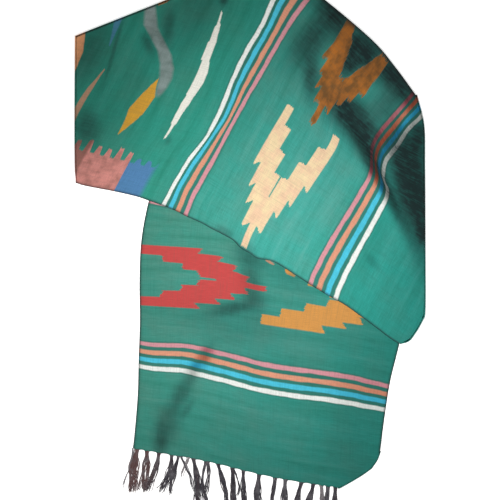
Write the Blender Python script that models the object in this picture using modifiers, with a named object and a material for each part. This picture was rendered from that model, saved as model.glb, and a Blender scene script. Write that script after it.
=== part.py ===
"""A cotton shawl, folded over on itself and laid flat.

One end, with its fringe, lies straight on the surface. The rest is folded and
lies across it at a slant. Four solids make it up: the end that shows, the
fringe, the top layer with its turned edges, and one rounded solid for the
hidden layers in between.

Frame: +Z up, underside on Z = 0, origin under the middle of the bounding box.
The fringe points to -Y. Sizes are in millimetres until a mesh is written.
"""

import math
import random
from collections import namedtuple

import bmesh
import bpy
import numpy as np

MM = 0.001

# Cloth and stack
WALL = 2.0  # thickness of one layer, with its nap
SEAM = 0.3  # gap between neighbouring pieces
ON_FLOOR = WALL / 2  # middle of a layer that lies on the surface
ON_LAYER = WALL + SEAM + WALL / 2  # middle of a layer that lies on that one
STACK = 12.0  # middle of the top layer along its turned edges
TURN = 6.0  # how far below the top layer its turned-under leg runs
CROWN = 8.0  # how much higher the middle of the pile stands
RISE = 65.0  # width of the slope behind the front selvedge
FLANGE = 14.0  # how far a turned edge runs back underneath
TURN_STEPS = 4  # facets around a turned edge

# Grids: cells across and along each stretch of cloth
TOP_COLUMNS = 40
TOP_ROWS = 26
FRONT_ROWS = 4  # rows spaced evenly over the slope and the strip behind it
FRONT_DEPTH = 75.0
END_COLUMNS = 16
END_ROWS = 14

# Fringe
LOCKS_PER_TASSEL = 3
LOCK_WIDTH = 3.0
LOCK_SPACING = 3.8
LOCK_LOW = 0.4  # clear height under a lock
LOCK_HIGH = 2.0
LOCK_TIP = 0.55  # size of a lock's tip, as a share of its root
LOCK_STEPS = 4
STRIP_DEPTH = 5.0
FRINGE_SEED = 11

Point = namedtuple("Point", "x y")
Fold = namedtuple("Fold", "x0 y0 x1 y1 width height")
Ring = namedtuple("Ring", "z at_fold at_selvedge")
Tassel = namedtuple("Tassel", "x bow lean length")

# The top layer's outline
FRONT_SELVEDGE = [
    Point(x=-418, y=161),
    Point(x=-394, y=154),
    Point(x=-326, y=141),
    Point(x=-274, y=129),
    Point(x=-244, y=119),
    Point(x=-210, y=107),
    Point(x=-180, y=95),
    Point(x=-151, y=80),
    Point(x=-117, y=65),
    Point(x=-92, y=51),
    Point(x=-43, y=25),
    Point(x=-23, y=5),
    Point(x=0, y=-8),
    Point(x=18, y=-20),
    Point(x=56, y=-28),
    Point(x=98, y=-53),
    Point(x=143, y=-82),
    Point(x=194, y=-113),
    Point(x=233, y=-135),
    Point(x=302, y=-186),
    Point(x=332, y=-209),
    Point(x=358, y=-226),
]
LEFT_FOLD = [
    Point(x=-418, y=161),
    Point(x=-418, y=340),
    Point(x=-417, y=512),
]
SLANTED_FOLD = [
    Point(x=-417, y=512),
    Point(x=-204, y=596),
    Point(x=-80, y=645),
    Point(x=34, y=690),
]
BACK_SELVEDGE = [
    Point(x=34, y=690),
    Point(x=110, y=648),
    Point(x=180, y=600),
    Point(x=293, y=504),
    Point(x=348, y=440),
    Point(x=398, y=372),
]
RIGHT_FOLD = [
    Point(x=358, y=-226),
    Point(x=380, y=-218),
    Point(x=394, y=-200),
    Point(x=412, y=-168),
    Point(x=418, y=-140),
    Point(x=418, y=0),
    Point(x=417, y=200),
    Point(x=415, y=300),
    Point(x=398, y=372),
]

# The fringed end's outline
END_LEFT = [
    Point(x=-282, y=-480),
    Point(x=-276, y=-420),
    Point(x=-270, y=-340),
    Point(x=-268, y=-262),
    Point(x=-265, y=-168),
    Point(x=-266, y=-77),
    Point(x=-262, y=20),
    Point(x=-246, y=110),
    Point(x=-228, y=161),
]
FRINGE_EDGE = [
    Point(x=-282, y=-480),
    Point(x=-230, y=-489),
    Point(x=-154, y=-502),
    Point(x=-77, y=-518),
    Point(x=24, y=-543),
    Point(x=123, y=-562),
    Point(x=214, y=-573),
]
CORNER_TURN = [
    Point(x=214, y=-573),
    Point(x=260, y=-547),
    Point(x=292, y=-525),
]
SIDE_TURN = [
    Point(x=292, y=-525),
    Point(x=305, y=-506),
    Point(x=313, y=-485),
]
END_RIGHT = [
    Point(x=313, y=-485),
    Point(x=325, y=-395),
    Point(x=337, y=-320),
    Point(x=354, y=-250),
    Point(x=361, y=-222),
]
HIDDEN_EDGE = [
    Point(x=-228, y=161),
    Point(x=-120, y=128),
    Point(x=-22, y=77),
    Point(x=70, y=25),
    Point(x=176, y=-40),
    Point(x=290, y=-130),
    Point(x=340, y=-185),
    Point(x=361, y=-222),
]
CORNER_SHARE = 0.15  # part of the end's grid that follows the turned corner
SIDE_SHARE = 0.13

# Largest soft folds, from one end of each crest to the other. A trough has a negative height.
TOP_FOLDS = [
    Fold(x0=196, y0=330, x1=428, y1=-50, width=24, height=6.0),
    Fold(x0=215, y0=372, x1=436, y1=-30, width=20, height=-11.0),
    Fold(x0=310, y0=420, x1=392, y1=20, width=24, height=4.0),
    Fold(x0=104, y0=600, x1=160, y1=370, width=26, height=-5.0),
    Fold(x0=-232, y0=580, x1=-205, y1=380, width=22, height=4.5),
    Fold(x0=-262, y0=560, x1=-262, y1=380, width=18, height=-3.5),
    Fold(x0=-305, y0=560, x1=-340, y1=330, width=20, height=4.0),
    Fold(x0=-352, y0=520, x1=-382, y1=330, width=17, height=-3.0),
]
END_FOLDS = [
    Fold(x0=-135, y0=-250, x1=-215, y1=-520, width=20, height=3.2),
    Fold(x0=60, y0=-250, x1=-20, y1=-430, width=34, height=2.0),
    Fold(x0=210, y0=-260, x1=180, y1=-470, width=30, height=2.2),
]

# Tassels: place of the root along the end, how far the middle and the tip lie aside, and length
TASSELS = [
    Tassel(x=-271, bow=-6, lean=-12, length=102),
    Tassel(x=-248, bow=2, lean=-12, length=96),
    Tassel(x=-219, bow=2, lean=-25, length=90),
    Tassel(x=-188, bow=-4, lean=-24, length=88),
    Tassel(x=-172, bow=-5, lean=-20, length=92),
    Tassel(x=-136, bow=7, lean=8, length=112),
    Tassel(x=-106, bow=-7, lean=2, length=106),
    Tassel(x=-77, bow=8, lean=22, length=112),
    Tassel(x=-42, bow=0, lean=6, length=114),
    Tassel(x=-16, bow=-2, lean=6, length=112),
    Tassel(x=22, bow=-5, lean=-4, length=116),
    Tassel(x=61, bow=-8, lean=-6, length=112),
    Tassel(x=86, bow=-6, lean=2, length=114),
    Tassel(x=124, bow=-10, lean=-18, length=112),
    Tassel(x=153, bow=-10, lean=-14, length=110),
    Tassel(x=188, bow=-5, lean=-6, length=114),
    Tassel(x=206, bow=-2, lean=0, length=116.4),
]

# Side of the hidden layers, from the surface up: how far each ring lies inside the outline
CORE_RINGS = [
    Ring(z=0.0, at_fold=4.0, at_selvedge=7.0),
    Ring(z=1.1, at_fold=0.8, at_selvedge=4.5),
    Ring(z=2.4, at_fold=0.0, at_selvedge=4.0),
    Ring(z=3.7, at_fold=0.8, at_selvedge=4.5),
    Ring(z=4.6, at_fold=16.5, at_selvedge=9.0),
    Ring(z=7.4, at_fold=16.5, at_selvedge=9.0),
    Ring(z=7.6, at_fold=5.0, at_selvedge=3.0),
    Ring(z=9.1, at_fold=2.6, at_selvedge=2.0),
    Ring(z=10.5, at_fold=5.0, at_selvedge=3.0),
]
CORE_DROP = 1.7  # from the middle of the top layer down to the hidden layers

GREEN = (0.035, 0.245, 0.200, 1.0)
GREEN_SHADE = (0.022, 0.150, 0.125, 1.0)
CHARCOAL = (0.028, 0.026, 0.030, 1.0)


def clear_scene():
    for item in list(bpy.data.objects):
        bpy.data.objects.remove(item, do_unlink=True)


def collection_named(name):
    group = bpy.data.collections.new(name)
    bpy.context.scene.collection.children.link(group)
    return group


def cotton(name, colour, roughness):
    material = bpy.data.materials.new(name)
    material.use_nodes = True
    shader = material.node_tree.nodes["Principled BSDF"]
    shader.inputs["Base Color"].default_value = colour
    shader.inputs["Roughness"].default_value = roughness
    shader.inputs["Metallic"].default_value = 0.0
    return material


def smoothstep(value):
    held = min(1.0, max(0.0, value))
    return held * held * (3 - 2 * held)


def curve_through(points, per_span=12):
    """A dense smooth line through the points, as an array."""
    knots = np.array([(p.x, p.y) for p in points], float)
    padded = np.vstack([2 * knots[0] - knots[1], knots, 2 * knots[-1] - knots[-2]])
    line = []
    for before, start, end, after in zip(padded, padded[1:], padded[2:], padded[3:]):
        for step in range(per_span):
            w = step / per_span
            line.append(
                0.5
                * (
                    2 * start
                    + (end - before) * w
                    + (2 * before - 5 * start + 4 * end - after) * w**2
                    + (3 * start - before - 3 * end + after) * w**3
                )
            )
    line.append(knots[-1])
    return np.array(line)


def route(*legs):
    """A function from 0..1 to a point in plan. Each leg is (points, share of the way)."""
    lines = [curve_through(points) for points, _ in legs]
    ends = np.cumsum([0.0] + [share for _, share in legs])
    stations, places = [], []
    for line, low, high in zip(lines, ends, ends[1:]):
        steps = np.linalg.norm(np.diff(line, axis=0), axis=1)
        reached = np.concatenate([[0.0], np.cumsum(steps)]) / steps.sum()
        stations.append(low + (high - low) * reached)
        places.append(line)
    stations = np.concatenate(stations)
    places = np.concatenate(places)

    def at(w):
        return np.array([np.interp(w, stations, places[:, axis]) for axis in (0, 1)])

    return at


def patch(bottom, top, left, right, s, t):
    """The point at (s, t) of the sheet that spans four edges."""
    across = (1 - t) * bottom(s) + t * top(s)
    along = (1 - s) * left(t) + s * right(t)
    corners = (1 - t) * ((1 - s) * bottom(0) + s * bottom(1)) + t * (
        (1 - s) * top(0) + s * top(1)
    )
    return across + along - corners


def fold_height(folds, x, y):
    """What the soft folds add to the height at a place."""
    total = 0.0
    for fold in folds:
        start = np.array([fold.x0, fold.y0], float)
        run = np.array([fold.x1, fold.y1], float) - start
        offset = np.array([x, y]) - start
        share = float(offset @ run) / float(run @ run)
        aside = float(np.linalg.norm(offset - share * run))
        ends = smoothstep(min(share, 1 - share) / 0.3)
        total += fold.height * ends * math.exp(-((aside / fold.width) ** 2))
    return total


def front_height(x):
    """Middle of the top layer along its front selvedge: on the surface at the left, on the end layer elsewhere."""
    dip = smoothstep((x + 400) / 50) * smoothstep((-262 - x) / 45)
    return ON_LAYER + 0.1 - dip * (ON_LAYER - ON_FLOOR)


def edge_clearance(s, t):
    """0 at the turned edges, 1 away from them."""
    sides = smoothstep(s / 0.1) * smoothstep((1 - s) / 0.06)
    return sides * smoothstep(t / 0.14) * smoothstep((1 - t) / 0.1)


def crown(s, t):
    return CROWN * (1 - (2 * s - 1) ** 4) * (1 - (2 * t - 1) ** 4)


TOP_FRONT = route((FRONT_SELVEDGE, 1.0))
TOP_BACK = route((SLANTED_FOLD, 0.5), (BACK_SELVEDGE, 0.5))
TOP_LEFT = route((LEFT_FOLD, 1.0))
TOP_RIGHT = route((RIGHT_FOLD, 1.0))
END_FRONT = route((FRINGE_EDGE, 1 - CORNER_SHARE), (CORNER_TURN, CORNER_SHARE))
END_BACK = route((HIDDEN_EDGE, 1.0))
END_LEFT_SIDE = route((END_LEFT, 1.0))
END_RIGHT_SIDE = route((SIDE_TURN, SIDE_SHARE), (END_RIGHT, 1 - SIDE_SHARE))


def top_share(s, row):
    """How far up the top layer a row lies: the first rows keep their distance from the selvedge."""
    reach = np.linalg.norm(TOP_BACK(s) - TOP_FRONT(s))
    front = FRONT_DEPTH / reach
    if row <= FRONT_ROWS:
        return front * row / FRONT_ROWS
    return front + (1 - front) * (row - FRONT_ROWS) / (TOP_ROWS - FRONT_ROWS)


def top_point(column, row):
    s = column / TOP_COLUMNS
    t = top_share(s, row)
    x, y = patch(TOP_FRONT, TOP_BACK, TOP_LEFT, TOP_RIGHT, s, t)
    behind = t * np.linalg.norm(TOP_BACK(s) - TOP_FRONT(s))
    low = front_height(x)
    z = low + (STACK - low) * smoothstep(behind / RISE)
    z += crown(s, t) + edge_clearance(s, t) * fold_height(TOP_FOLDS, x, y)
    return np.array([x, y, z])


def distance_to(points, x, y):
    """Plan distance to the nearest stretch of a line of points."""
    line = curve_through(points, 4)
    best = 1e9
    for start, end in zip(line, line[1:]):
        run = end - start
        share = min(1.0, max(0.0, float((np.array([x, y]) - start) @ run) / float(run @ run)))
        best = min(best, float(np.linalg.norm(start + share * run - (x, y))))
    return best


def end_point(column, row):
    s, t = column / END_COLUMNS, row / END_ROWS
    x, y = patch(END_FRONT, END_BACK, END_LEFT_SIDE, END_RIGHT_SIDE, s, t)
    turned = distance_to(CORNER_TURN + SIDE_TURN[1:], x, y)
    over_flap = 1 - smoothstep((turned - FLANGE - 5) / 32)
    z = ON_FLOOR + over_flap * (ON_LAYER + 0.1 - ON_FLOOR)
    z += fold_height(END_FOLDS, x, y) * smoothstep(t / 0.1)
    return np.array([x, y, z])


def outward(places):
    """Plan offsets that move an open line of points out by 1, with mitred corners. It runs clockwise round its cloth."""
    places = np.array(places)[:, :2]
    run = np.diff(places, axis=0)
    run /= np.linalg.norm(run, axis=1)[:, None]
    sides = np.stack([-run[:, 1], run[:, 0]], axis=1)
    before = np.vstack([sides[:1], sides])
    after = np.vstack([sides, sides[-1:]])
    return (before + after) / (1 + np.sum(before * after, axis=1))[:, None]


class Cloth:
    """An open sheet of quads, built up in a bmesh."""

    def __init__(self):
        self.bm = bmesh.new()

    def grid(self, columns, rows, point):
        made = [
            [self.bm.verts.new(point(i, j)) for j in range(rows + 1)]
            for i in range(columns + 1)
        ]
        for near, far in zip(made, made[1:]):
            for a, b, c, d in zip(near, far, far[1:], near[1:]):
                self.bm.faces.new((a, b, c, d))
        return made

    def turn_under(self, edge):
        """Rolls the cloth under along an edge that runs clockwise, with a leg that lies flat."""
        normals = outward([v.co for v in edge])
        last = list(edge)
        for step in range(1, TURN_STEPS + 2):
            row = []
            for vert, normal in zip(edge, normals):
                leg = max(ON_FLOOR, vert.co.z - TURN)
                radius = (vert.co.z - leg) / 2
                angle = math.pi * min(step, TURN_STEPS) / TURN_STEPS
                out = radius * math.sin(angle) if step <= TURN_STEPS else -FLANGE
                drop = radius * (1 - math.cos(angle))
                row.append(
                    self.bm.verts.new(
                        (
                            vert.co.x + normal[0] * out,
                            vert.co.y + normal[1] * out,
                            vert.co.z - drop,
                        )
                    )
                )
            for a, b, c, d in zip(last, row, row[1:], last[1:]):
                self.bm.faces.new((a, d, c, b))
            last = row

    def solid(self, name, group, material):
        """Gives the sheet its thickness and links it as an object."""
        self.bm.normal_update()
        shape = object_from(self.bm, name, group, material)
        wall = shape.modifiers.new("wall", "SOLIDIFY")
        wall.thickness = WALL * MM
        wall.offset = 0.0
        wall.use_even_offset = True
        wall.use_rim = True
        return shape


def object_from(bm, name, group, material):
    bmesh.ops.scale(bm, vec=(MM, MM, MM), verts=bm.verts)
    mesh = bpy.data.meshes.new(name)
    bm.to_mesh(mesh)
    bm.free()
    mesh.materials.append(material)
    shape = bpy.data.objects.new(name, mesh)
    group.objects.link(shape)
    mesh.shade_smooth()
    mesh.set_sharp_from_angle(angle=math.radians(50))
    return shape


def make_top_layer(group, material):
    cloth = Cloth()
    made = cloth.grid(TOP_COLUMNS, TOP_ROWS, top_point)
    left = made[0]
    slant = [column[-1] for column in made[: TOP_COLUMNS // 2 + 1]]
    right = made[-1][:0:-1]
    cloth.turn_under(left + slant[1:])
    cloth.turn_under(right)
    return cloth.solid("top_layer", group, material)


def make_end_layer(group, material):
    cloth = Cloth()
    made = cloth.grid(END_COLUMNS, END_ROWS, end_point)
    corner_columns = round(CORNER_SHARE * END_COLUMNS)
    side_rows = round(SIDE_SHARE * END_ROWS)
    corner = [column[0] for column in made[END_COLUMNS - corner_columns :]]
    side = made[-1][1 : side_rows + 1]
    cloth.turn_under((corner + side)[::-1])
    return cloth.solid("fringed_end", group, material)


def make_hidden_layers(group, material):
    """The folded layers under the top one: its own points moved down, over a side with a groove for the turned leg."""
    bm = bmesh.new()
    rows = range(FRONT_ROWS, TOP_ROWS + 1)
    places = [[top_point(i, j) for j in rows] for i in range(TOP_COLUMNS + 1)]
    left = [(0, j) for j in range(len(rows))]
    back = [(i, len(rows) - 1) for i in range(1, TOP_COLUMNS + 1)]
    right = [(TOP_COLUMNS, j) for j in range(len(rows) - 2, -1, -1)]
    front = [(i, 0) for i in range(TOP_COLUMNS - 1, 0, -1)]
    open_edge = left + back + right
    normals = dict(zip(open_edge, outward([places[i][j] for i, j in open_edge])))
    half = TOP_COLUMNS // 2

    def selvedge_share(i, j):
        if j < len(rows) - 1:
            return 0.0
        return smoothstep((i - half - 1) / 2) * smoothstep((TOP_COLUMNS - 1 - i) / 2)

    def ring_point(i, j, ring):
        x, y, _ = places[i][j]
        if (i, j) in normals:
            share = selvedge_share(i, j)
            inside = ring.at_fold + (ring.at_selvedge - ring.at_fold) * share
            x -= normals[i, j][0] * inside
            y -= normals[i, j][1] * inside
        return bm.verts.new((x, y, ring.z))

    loop = open_edge + front
    rings = [[ring_point(i, j, ring) for i, j in loop] for ring in CORE_RINGS]
    rim = dict(zip(loop, rings[-1]))
    crest = {}
    for i, column in enumerate(places):
        for j, (x, y, z) in enumerate(column):
            crest[i, j] = rim.get((i, j)) or bm.verts.new((x, y, z - CORE_DROP))
    for i in range(TOP_COLUMNS):
        for j in range(len(rows) - 1):
            bm.faces.new((crest[i, j], crest[i + 1, j], crest[i + 1, j + 1], crest[i, j + 1]))
    for low, high in zip(rings, rings[1:]):
        for k in range(len(loop)):
            after = (k + 1) % len(loop)
            bm.faces.new((low[k], high[k], high[after], low[after]))
    bm.faces.new(rings[0])
    bmesh.ops.recalc_face_normals(bm, faces=bm.faces)
    return object_from(bm, "hidden_layers", group, material)


def lock_path(root, lean, bow, length):
    """Plan points of one lock from its root, with a lean and a bow to the side."""
    points = []
    for step in range(LOCK_STEPS + 1):
        share = step / LOCK_STEPS
        aside = lean * share + bow * math.sin(math.pi * share)
        points.append(root + np.array([aside, -length * share]))
    return points


def make_fringe(group, material):
    """A narrow strip along the end with every lock drawn out of its outer face."""
    rng = random.Random(FRINGE_SEED)
    edge = route((FRINGE_EDGE, 1.0))
    steps = np.array([edge(w / 400) for w in range(401)])
    reached = np.linalg.norm(np.diff(steps, axis=0), axis=1).cumsum()
    length = float(reached[-1])
    cuts, locks = [0.0], []
    for tassel in TASSELS:
        middle = float(np.interp(tassel.x, steps[1:, 0], reached))
        for lock in range(LOCKS_PER_TASSEL):
            place = lock - (LOCKS_PER_TASSEL - 1) / 2
            centre = middle + place * LOCK_SPACING
            cuts += [centre - LOCK_WIDTH / 2, centre + LOCK_WIDTH / 2]
            reach = tassel.length * (1.0 if place == 0 else rng.uniform(0.92, 0.99))
            locks.append((len(cuts) - 2, tassel.lean + place * 1.2, tassel.bow, reach))
    cuts.append(length)

    bm = bmesh.new()
    stations = []
    for cut in cuts:
        share = cut / length
        here = edge(share)
        run = edge(min(1.0, share + 0.002)) - edge(max(0.0, share - 0.002))
        out = np.array([run[1], -run[0]]) / np.linalg.norm(run)
        inner = here + out * SEAM
        outer = here + out * (SEAM + STRIP_DEPTH)
        stations.append(
            [
                bm.verts.new((*inner, LOCK_LOW)),
                bm.verts.new((*inner, LOCK_HIGH)),
                bm.verts.new((*outer, LOCK_HIGH)),
                bm.verts.new((*outer, LOCK_LOW)),
            ]
        )
    outer_faces = []
    for near, far in zip(stations, stations[1:]):
        for side in range(4):
            after = (side + 1) % 4
            face = bm.faces.new((near[side], near[after], far[after], far[side]))
            if side == 2:
                outer_faces.append(face)
    bm.faces.new(stations[0][::-1])
    bm.faces.new(stations[-1])
    bmesh.ops.recalc_face_normals(bm, faces=bm.faces)

    for station, lean, bow, reach in locks:
        face = outer_faces[station]
        corners = [np.array(v.co) for v in face.verts]
        root = sum(corners) / len(corners)
        path = lock_path(root[:2], lean, bow, reach)
        for step in range(1, LOCK_STEPS + 1):
            made = bmesh.ops.extrude_discrete_faces(bm, faces=[face])
            face = made["faces"][0]
            share = step / LOCK_STEPS
            size = 1 - (1 - LOCK_TIP) * share
            for vert, corner in zip(face.verts, corners):
                offset = (corner - root) * size
                place = path[step] + offset[:2]
                low = LOCK_LOW if corner[2] < root[2] else LOCK_LOW + (LOCK_HIGH - LOCK_LOW) * size
                vert.co = (place[0], place[1], low)
    return object_from(bm, "fringe", group, material)


def build():
    clear_scene()
    group = collection_named("cotton_shawl")
    green = cotton("green_cotton", GREEN, 0.85)
    shade = cotton("green_cotton_inside", GREEN_SHADE, 0.9)
    yarn = cotton("charcoal_yarn", CHARCOAL, 0.8)
    make_end_layer(group, green)
    make_fringe(group, yarn)
    make_hidden_layers(group, shade)
    make_top_layer(group, green)


build()
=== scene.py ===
"""The looks of a folded cotton shawl: woven stripes, stepped motifs, soft folds and a fringe.

Sizes are in millimetres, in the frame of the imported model, until a mesh is
written. A place on the cloth is (along, across): along the warp from the end
that shows its first stripe, and across the width from the back selvedge.
"""

import math
import random
from collections import namedtuple

import bmesh
import bpy
import numpy as np
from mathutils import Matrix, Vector, kdtree, noise


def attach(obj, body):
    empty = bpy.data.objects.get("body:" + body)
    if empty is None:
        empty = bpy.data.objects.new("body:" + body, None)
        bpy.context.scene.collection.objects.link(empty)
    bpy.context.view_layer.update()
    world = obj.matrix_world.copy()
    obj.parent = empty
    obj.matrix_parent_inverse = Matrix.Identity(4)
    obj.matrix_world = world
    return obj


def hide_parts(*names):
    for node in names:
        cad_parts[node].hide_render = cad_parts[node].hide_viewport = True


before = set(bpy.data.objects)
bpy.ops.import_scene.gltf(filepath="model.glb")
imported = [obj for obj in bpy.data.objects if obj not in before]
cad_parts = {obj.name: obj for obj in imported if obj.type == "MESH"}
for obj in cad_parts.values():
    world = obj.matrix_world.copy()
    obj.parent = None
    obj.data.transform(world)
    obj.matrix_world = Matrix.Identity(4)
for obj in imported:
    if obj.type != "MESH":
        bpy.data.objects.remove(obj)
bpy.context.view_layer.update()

MM = 0.001

# The photograph: how large one of its pixels is on the cloth, and its middle
PIXEL = 2.4
PHOTO_MIDDLE = 250

# Cloth and stack, as in the model underneath
LAYER = 2.0
SEAM = 0.3
ON_FLOOR = LAYER / 2
ON_LAYER = LAYER + SEAM + LAYER / 2
HAIR = 0.1  # keeps the sheets off what they rest on
STACK = 12.0
TURN = 6.0
CROWN = 8.0
RISE = 65.0
FLANGE = 14.0  # length of the leg that lies flat under a rolled edge
FLANGE_CUT = 0.92  # share of the leg that goes where the edge leaves the floor
LIFT = 14.0  # length over which a rolled edge climbs from the floor onto the folded layers
CLOTH = 1.3  # thickness of the cloth as it is shown
EDGE_SHADE_LINE = 3.8  # width of the dark line along a selvedge: its darker threads, and painted shade where it meets what lies under it
DARK_RIM = 7.0  # the same along the back selvedge, which lies in the shade
FOLD_SHADE_LINE = 1.6  # the same along a fold, as painted shade
FOLD_ENDS = 0.3  # share of a fold over which it rises at either end

# Where the front selvedge dips to the floor: from, to, and how softly
DIP_FROM, DIP_TO = -400, -262
DIP_SOFT_FROM, DIP_SOFT_TO = 50, 45

# Scallops of the fringed edge between the tassels
SCALLOP = 3.0
SCALLOP_DEPTH = 0.03  # share of the cloth's length that they pull on
SCALLOP_TO, SCALLOP_SOFT = 216, 12  # no scallops to the right of this
SCALLOP_ROOT = 6  # width of a tassel's root
FULL_TASSEL = 6  # a tassel with more yarns than this holds the edge

# The fringed end rests on its turned corner, and comes down beyond it
FLAP_REST, FLAP_RAMP = 5, 32

# The lamp above, and how far around the middle the painted pool of its light reaches, in metres
KEY_HEIGHT = 1.05
PAINTED_LIGHT_REACH = 0.70
PAINTED_LIGHT_MIDDLE = np.array([55.0, 15.0])  # millimetres

# Cells of the fine sheets, across and along
TOP_COLUMNS, TOP_ROWS = 204, 188
END_COLUMNS, END_ROWS = 130, 128
CORE_COLUMNS, CORE_ROWS = 84, 60
TURN_STEPS, FLANGE_STEPS = 8, 2

# The weave
WIDTH = 600.0  # from selvedge to selvedge
BAND_MIDDLE = 436.0  # middle of the band of motifs, from the end of the cloth
PICK = 1.5  # pitch of the weft
END = 1.8  # pitch of the warp

# Rows of the tables. The places of Seen and RibbonStop are pixels of the photograph, a Lamp's
# are metres, and all other places and sizes are millimetres. A share goes from 0 to 1.
Point = namedtuple("Point", "x y")
Seen = namedtuple("Seen", "x y")
Fold = namedtuple("Fold", "x0 y0 x1 y1 width height")  # a ridge, or a valley below zero
Wave = namedtuple("Wave", "height size seed")
Guide = namedtuple("Guide", "along seen")
Stripe = namedtuple("Stripe", "from_middle width colour")
Barb = namedtuple("Barb", "from_tip inner outer")
Notch = namedtuple("Notch", "from_tip inner")
Motif = namedtuple("Motif", "tip arms stalk bow skew breadth barbs notches colour mottled fray")
Wide = namedtuple("Wide", "share left right")
Spindle = namedtuple("Spindle", "start end bow profile colour strength")
Tint = namedtuple("Tint", "place colour")
DarkPatch = namedtuple("DarkPatch", "x y length width turn strength")
Tassel = namedtuple("Tassel", "x y bow lean length yarns spread tone")
RibbonStop = namedtuple("RibbonStop", "x y width")
Ring = namedtuple("Ring", "z at_fold at_selvedge")
Lamp = namedtuple("Lamp", "name place target energy size colour")


def rows(kind, *values):
    return [kind(*row) for row in values]


def guide(along, *seen):
    """A weft line: its place along the cloth, and where it is seen."""
    return Guide(along, rows(Seen, *seen))


def spindle(start, end, bow, colour, strength, *profile):
    """A slim figure between two places seen, with rows of Wide from its start to its end."""
    return Spindle(Seen(*start), Seen(*end), bow, rows(Wide, *profile), colour, strength)


FRONT_SELVEDGE = rows(
    Point, (-418, 161), (-394, 154), (-326, 141), (-274, 129), (-244, 119), (-210, 107),
    (-180, 95), (-151, 80), (-117, 65), (-92, 51), (-43, 25), (-23, 5), (0, -8), (18, -20),
    (56, -28), (98, -53), (143, -82), (194, -113), (233, -135), (302, -186), (332, -209),
    (358, -226),
)
LEFT_FOLD = rows(Point, (-418, 161), (-418, 340), (-417, 512))
SLANTED_FOLD = rows(Point, (-417, 512), (-204, 596), (-80, 645), (34, 690))
BACK_SELVEDGE = rows(Point, (34, 690), (110, 648), (180, 600), (293, 504), (348, 440), (398, 372))
RIGHT_FOLD = rows(
    Point, (358, -226), (380, -218), (394, -200), (412, -168), (418, -140), (418, 0), (417, 200),
    (415, 300), (398, 372),
)
END_LEFT = rows(
    Point, (-282, -480), (-276, -420), (-270, -340), (-268, -262), (-265, -168), (-266, -77),
    (-262, 20), (-246, 110), (-228, 161),
)
FRINGE_EDGE = rows(
    Point, (-282, -480), (-230, -489), (-154, -502), (-77, -518), (24, -543), (123, -562),
    (214, -573),
)
CORNER_TURN = rows(Point, (214, -573), (260, -547), (292, -525))
SIDE_TURN = rows(Point, (292, -525), (305, -506), (313, -485))
END_RIGHT = rows(Point, (313, -485), (325, -395), (337, -320), (354, -250), (361, -222))
HIDDEN_EDGE = rows(
    Point, (-228, 161), (-120, 128), (-22, 77), (70, 25), (176, -40), (290, -130), (340, -185),
    (361, -222),
)
CORNER_SHARE = 0.15
SIDE_SHARE = 0.13

TOP_FOLDS = rows(
    Fold, (196, 330, 428, -50, 24, 6.0), (215, 372, 436, -30, 20, -11.0),
    (310, 420, 392, 20, 24, 4.0), (104, 600, 160, 370, 26, -5.0), (-232, 580, -205, 380, 22, 4.5),
    (-262, 560, -262, 380, 18, -3.5), (-305, 560, -340, 330, 20, 4.0),
    (-352, 520, -382, 330, 17, -3.0),
)
END_FOLDS = rows(
    Fold, (-135, -250, -215, -520, 20, 3.2), (60, -250, -20, -430, 34, 2.0),
    (210, -260, 180, -470, 30, 2.2),
)

# Weft lines of the top layer, from the front selvedge to the back one
TOP_GUIDES = [
    guide(-150, (455, 392), (500, 300), (540, 225), (560, 170)),
    guide(0, (404, 349), (430, 300), (456, 252), (490, 150)),
    guide(
        205, (336.4, 298.6), (341, 284.9), (348.5, 268.8), (358.4, 250), (376, 218), (386, 198),
        (387, 189), (383, 178), (385, 162), (396, 147), (406.6, 131), (419.4, 118.7),
    ),
    guide(
        264.5, (310.6, 283), (315, 271.4), (327.3, 247.4), (340.5, 225.4), (353.7, 204.1),
        (365.2, 184.4), (370.5, 172), (371.6, 161), (372.5, 147), (378.6, 134), (391.3, 118.7),
        (404, 104.6), (414, 92),
    ),
    guide(
        607.5, (185.2, 215.5), (194, 195), (213, 160.7), (229.6, 128.8), (245, 100.8), (265.5, 66),
        (282, 37), (295.7, 15.2), (314, -8),
    ),
    guide(
        646.8, (170, 207.6), (184.8, 177.3), (209.8, 140.3), (226.2, 115.6), (240, 82),
        (252, 58.5), (268.4, 29), (279.4, 5.3), (294, -22),
    ),
    guide(
        667, (163.2, 204.5), (187.6, 163), (206.7, 137.8), (220, 112.3), (233, 79.9), (245, 54.3),
        (262, 25.5), (272.7, 1.4), (288, -26),
    ),
    guide(900, (72, 183), (100, 133), (124, 88), (146, 44), (172, -12), (192, -52)),
    guide(1120, (-20, 160), (12, 104), (60, 12), (100, -75)),
]

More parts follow.
